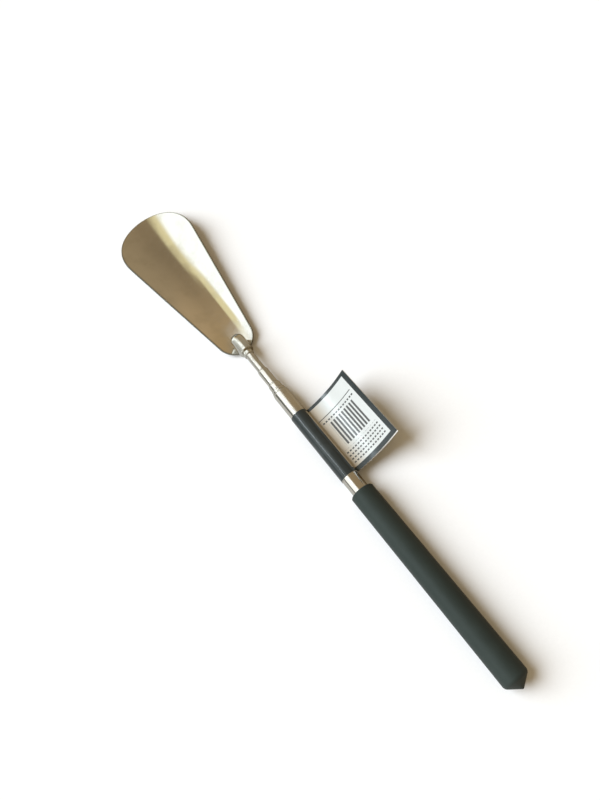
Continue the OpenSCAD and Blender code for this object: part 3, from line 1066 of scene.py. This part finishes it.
def brown_room():
    """The room: a warm fill for the table, a white backdrop, and all that reflections show."""
    world = bpy.data.worlds.new("room")
    bpy.context.scene.world = world
    world.use_nodes = True
    tree = world.node_tree
    shade = tree.nodes["Background"].inputs
    x, y, z = split(tree, add(tree, "ShaderNodeTexCoord")["Generated"])

    # Brown walls, lighter ahead on the right.
    walls = colour_stops(tree, x, (
        (0.3, (0.36, 0.27, 0.155)), (0.47, (0.4, 0.305, 0.18)), (0.52, (0.38, 0.32, 0.22)),
        (0.56, (0.38, 0.32, 0.23)), (0.578, (0.4, 0.35, 0.26)), (0.6, (0.52, 0.37, 0.185)),
        (0.65, (0.51, 0.375, 0.21)), (0.7, (0.43, 0.32, 0.185)), (0.72, (0.36, 0.275, 0.165)),
        (0.78, (0.33, 0.255, 0.15)), (0.84, (0.17, 0.145, 0.075))))
    ahead = spread(tree, x, 0.6, 0.7)
    from_right = spread(tree, y, -0.15, -0.62, -0.13, 0.26, kind="LINEAR")
    brighter = calc(tree, "ADD", 1.0, times(tree, ahead, from_right))
    walls = add(tree, "ShaderNodeVectorMath", {0: walls, "Scale": brighter}, operation="SCALE")[0]

    # A window pane with a cream curtain along its edge. The curves hold Y plus a half, to stay above 0.
    curve_base, curtain_width = 0.5, 0.02
    pane_behind = [
        (0.0, 0.95), (0.25, 0.86), (0.32, 0.785), (0.47, 0.56), (0.502, 0.37), (0.519, 0.345),
        (0.545, 0.146), (0.556, 0.146), (0.566, 0.31), (0.581, 0.33)]
    curtain_behind = [(place, edge - curtain_width) for place, edge in pane_behind]
    pane_from = drawn_curve(tree, x, pane_behind + [
        (0.584, 0.66), (0.588, 0.75), (0.6, 0.855), (0.608, 0.94), (0.634, 0.97), (0.67, 0.92),
        (0.705, 0.87), (0.723, 0.77), (0.73, 0.735), (0.85, 0.71), (1.0, 0.71)])
    curtain_from = drawn_curve(tree, x, curtain_behind + [
        (0.584, 0.61), (0.588, 0.7), (0.601, 0.78), (0.626, 0.755), (0.665, 0.73), (0.7, 0.71),
        (0.715, 0.585), (0.73, 0.555), (0.85, 0.555), (1.0, 0.555)])
    side = calc(tree, "ADD", y, curve_base)
    crisp = spread(tree, x, 0.6, 0.64, to_low=1.0, to_high=2.0)
    in_curtain = times(tree, calc(tree, "SUBTRACT", side, curtain_from), crisp)
    in_pane = times(tree, calc(tree, "SUBTRACT", side, pane_from), crisp)
    cream = (1.08, 0.98, 0.58)
    curtain = blend(tree, spread(tree, in_curtain, -0.05, 0.04), walls, cream)
    daylight = blend(tree, spread(tree, x, 0.5, 0.6), (1.56, 1.6, 1.56), (1.66, 1.76, 1.76))
    pane = blend(tree, spread(tree, in_pane, -0.1, 0.05), curtain, daylight)

    # A short bright lamp, on a slant.
    lamp_glow, lamp_rise, lamp_run = (12.0, 13.6, 14.4), 0.588, 0.809
    lamp_ends = ((0.52, 0.46), (0.325, 0.37))
    slants = times(tree, z, lamp_rise), times(tree, y, lamp_run)
    off_lamp = calc(tree, "ABSOLUTE", calc(tree, "SUBTRACT", *slants))
    on_lamp = spread(tree, off_lamp, 0.065, 0.035)
    for outside, inside in lamp_ends:
        on_lamp = times(tree, on_lamp, spread(tree, x, outside, inside))
    pane = blend(tree, on_lamp, pane, lamp_glow)

    # A skirting below the window, dark behind and pale ahead.
    sill = drawn_curve(tree, x, (
        (0.0, 0.24), (0.32, 0.272), (0.47, 0.46), (0.519, 0.475), (0.545, 0.554), (0.566, 0.75),
        (0.585, 0.75), (0.591, 0.3), (0.6, 0.2), (0.8, 0.1), (0.88, 0.45), (1.0, 0.5)))
    above_sill = calc(tree, "SUBTRACT", z, sill)
    left = spread(tree, calc(tree, "ADD", y, x), 0.2, 0.6)
    low = times(tree, left, spread(tree, above_sill, 0.03, -0.1))
    skirting = blend(tree, spread(tree, x, 0.51, 0.575), (0.2, 0.205, 0.185), (0.6, 0.6, 0.56))
    mirrored = blend(tree, low, pane, skirting)

    warm_fill, backdrop = (0.36, 0.278, 0.17), (1.0, 1.0, 1.0)
    rays = add(tree, "ShaderNodeLightPath")
    seen = blend(tree, rays["Is Glossy Ray"], warm_fill, mirrored)
    tree.links.new(blend(tree, rays["Is Camera Ray"], seen, backdrop), shade["Color"])


def photo_camera():
    """The camera, with the top of its picture towards the given way up."""
    data = bpy.data.cameras.new("camera")
    data.lens = camera_lens
    data.sensor_width = 36.0
    data.clip_start, data.clip_end = 0.01, 50.0
    camera = new_object("camera", data)
    back = -camera_way.normalized()
    right = camera_up.cross(back).normalized()
    up = back.cross(right)
    turned = Matrix((right, up, back)).transposed().to_4x4()
    camera.matrix_world = Matrix.Translation(camera_place) @ turned
    bpy.context.scene.camera = camera


table = table_top()
far_light("window", heading=56, elevation=40.5, width=52, strength=4.45, colour=(0.83, 0.905, 1.0))
brown_room()
photo_camera()
view = bpy.context.scene.view_settings
view.view_transform = "Standard"
view.look = "None"
